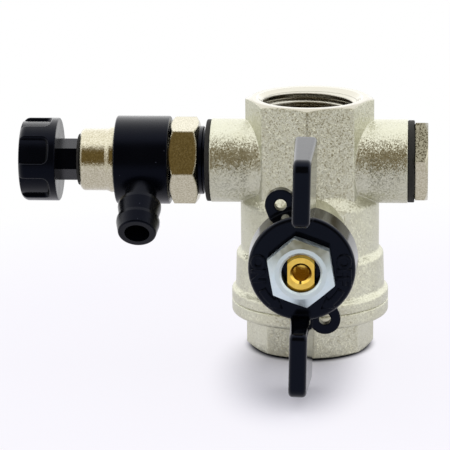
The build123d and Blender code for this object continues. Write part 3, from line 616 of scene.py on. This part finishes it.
def studio_surroundings():
    """White for the camera, and in reflections a bright white sweep with a dim warm room on the
    handle's side."""
    world = bpy.data.worlds.new("studio")
    world.use_nodes = True
    tree = world.node_tree
    tree.nodes.clear()
    place = add(tree, "ShaderNodeTexCoord", {}, {})
    way = add(tree, "ShaderNodeSeparateXYZ", {}, {"Vector": place.outputs["Generated"]})
    aside = add(tree, "ShaderNodeMath", {"operation": "ABSOLUTE"}, {0: way.outputs["X"]})
    between = add(tree, "ShaderNodeMapRange", {"interpolation_type": "SMOOTHSTEP"}, {
        "Value": aside.outputs[0], "From Min": ROOM_SIDES[0], "From Max": ROOM_SIDES[1]})
    front = add(tree, "ShaderNodeMapRange", {"interpolation_type": "SMOOTHSTEP"}, {
        "Value": way.outputs["Y"], "From Min": ROOM_FRONT[0], "From Max": ROOM_FRONT[1]})
    above_floor = add(tree, "ShaderNodeMapRange", {"interpolation_type": "SMOOTHSTEP"}, {
        "Value": way.outputs["Z"], "From Min": ROOM_FLOOR[0], "From Max": ROOM_FLOOR[1]})
    below_lamp = add(tree, "ShaderNodeMapRange", {"interpolation_type": "SMOOTHSTEP"}, {
        "Value": way.outputs["Z"], "From Min": ROOM_TOP[0], "From Max": ROOM_TOP[1]})
    band = add(tree, "ShaderNodeMath", {"operation": "MULTIPLY"}, {
        0: above_floor.outputs["Result"], 1: below_lamp.outputs["Result"]})
    middle = add(tree, "ShaderNodeMath", {"operation": "MULTIPLY"}, {
        0: front.outputs["Result"], 1: between.outputs["Result"]})
    room = add(tree, "ShaderNodeMath", {"operation": "MULTIPLY"}, {
        0: middle.outputs[0], 1: band.outputs[0]})
    mirrored_colour = add(tree, "ShaderNodeMix", {"data_type": "RGBA"}, {
        0: room.outputs[0], 6: linear("#FFFFFF"), 7: linear("#625434")})
    ray = add(tree, "ShaderNodeLightPath", {}, {})
    lit_colour = add(tree, "ShaderNodeMix", {"data_type": "RGBA"}, {
        0: ray.outputs["Is Diffuse Ray"], 6: mirrored_colour.outputs[2], 7: linear("#EFEFF4")})
    colour = add(tree, "ShaderNodeMix", {"data_type": "RGBA"}, {
        0: ray.outputs["Is Camera Ray"], 6: lit_colour.outputs[2], 7: linear("#FFFFFF")})
    strength = add(tree, "ShaderNodeMapRange", {}, {
        "Value": ray.outputs["Is Glossy Ray"], "To Min": 1.0, "To Max": SWEEP_GLARE})
    background = add(tree, "ShaderNodeBackground", {}, {
        "Color": colour.outputs[2], "Strength": strength.outputs["Result"]})
    add(tree, "ShaderNodeOutputWorld", {}, {"Surface": background.outputs["Background"]})
    bpy.context.scene.world = world


def softbox(name, place, aim, width, depth, power):
    """Large soft lamp at a place, facing a point, that neither the camera nor a reflection shows."""
    lamp = bpy.data.lights.new(name, "AREA")
    lamp.shape = "RECTANGLE"
    lamp.size = width
    lamp.size_y = depth
    lamp.energy = power
    carrier = bpy.data.objects.new(name, lamp)
    carrier.location = place
    carrier.rotation_euler = (Vector(aim) - Vector(place)).to_track_quat("-Z", "Y").to_euler()
    carrier.visible_camera = False
    carrier.visible_glossy = False
    bpy.context.scene.collection.objects.link(carrier)


def place_camera():
    """Camera at the photograph's viewing angle, framed for a square picture."""
    azimuth = math.radians(VIEW_AZIMUTH)
    elevation = math.radians(VIEW_ELEVATION)
    roll = math.radians(VIEW_ROLL)
    level_right = Vector((math.cos(azimuth), math.sin(azimuth), 0))
    back = Vector((
        math.sin(azimuth) * math.cos(elevation),
        -math.cos(azimuth) * math.cos(elevation),
        math.sin(elevation),
    ))
    level_up = back.cross(level_right)
    right = level_right * math.cos(roll) + level_up * math.sin(roll)
    up = level_up * math.cos(roll) - level_right * math.sin(roll)
    spot = VIEW_CENTRE + right * VIEW_ASIDE + up * VIEW_RAISED + back * VIEW_DISTANCE
    data = bpy.data.cameras.new("camera")
    data.sensor_width = SENSOR_WIDTH
    data.lens = LENS_LENGTH
    data.clip_start = CLIP_START
    camera = bpy.data.objects.new("camera", data)
    camera.matrix_world = Matrix.Translation(spot) @ Matrix((right, up, back)).transposed().to_4x4()
    bpy.context.scene.collection.objects.link(camera)
    bpy.context.scene.camera = camera


nickel = blasted_nickel()
enamel = gloss_enamel()
finish_nodes({
    "nickel_cast": nickel,
    "nickel_turned": turned_nickel(),
    "handle_coating": enamel,
    "zinc_steel": zinc_plate(),
    "raw_brass": bare_brass(),
    "plated_ball": hard_chrome(),
    "seat_plastic": seat_fluoroplastic(),
    "seal_rubber": pressed_rubber(),
    "black_plastic": moulded_nylon(),
})

pipe_thread(
    "upper_socket_thread", BODY_HIGH.z - UPPER_THREAD_DEEP, BODY_HIGH.z - UPPER_THREAD_MOUTH,
    math.radians(UPPER_THREAD_START), nickel)
pipe_thread(
    "lower_socket_thread", CONNECTOR_LOW.z + LOWER_THREAD_MOUTH, CONNECTOR_LOW.z + LOWER_THREAD_DEEP,
    math.radians(LOWER_THREAD_START), nickel)
hub_word("hub_mark_on", "ON", LETTER_LEFT, enamel)
hub_word("hub_mark_off", "OFF", LETTER_RIGHT, enamel)
hub_arrow("hub_arrow_left", -1, enamel)
hub_arrow("hub_arrow_right", 1, enamel)

studio_floor()
studio_surroundings()
softbox("overhead_softbox", LAMP_PLACE, LAMP_AIM, LAMP_WIDTH, LAMP_DEPTH, LAMP_POWER)
place_camera()
bpy.context.scene.view_settings.view_transform = "Standard"
